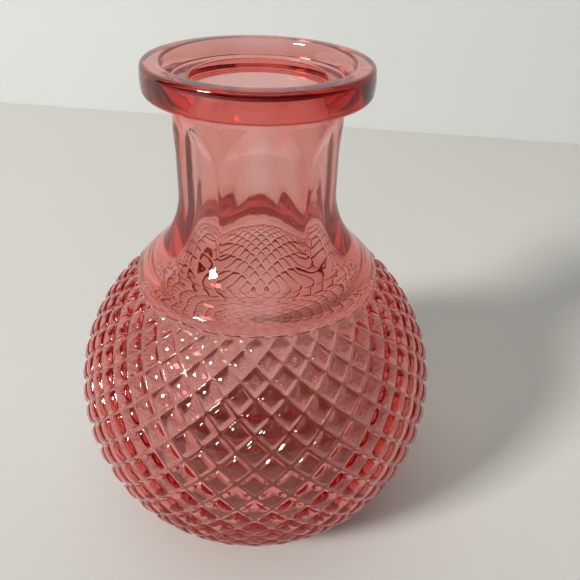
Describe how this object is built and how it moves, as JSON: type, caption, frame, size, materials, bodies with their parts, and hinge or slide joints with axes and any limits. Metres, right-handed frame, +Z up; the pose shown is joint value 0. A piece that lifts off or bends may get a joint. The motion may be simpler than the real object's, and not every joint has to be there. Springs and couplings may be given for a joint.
{
  "type": "bud vase",
  "caption": "Globe-shaped bud vase of pink pressed glass with a raised diamond pattern, fluted neck and wide recessed lip.",
  "frame": {"origin": "centre of the flat bearing ring under the foot", "axes": "+Z up along the vase's axis, -Y towards the side seen from the front; one neck flat faces 3.5 degrees off -Y"},
  "size_m": [0.0854, 0.0854, 0.111],
  "materials": {
    "pink_glass": "clear coral pink, polished"
  },
  "bodies": {
    "root": {"foot": "pink_glass", "globe_lower_wall": "pink_glass", "globe_upper_wall": "pink_glass", "diamond_relief": "pink_glass", "shoulder": "pink_glass", "neck": "pink_glass", "lip_ring": "pink_glass"}
  },
  "joints": []
}
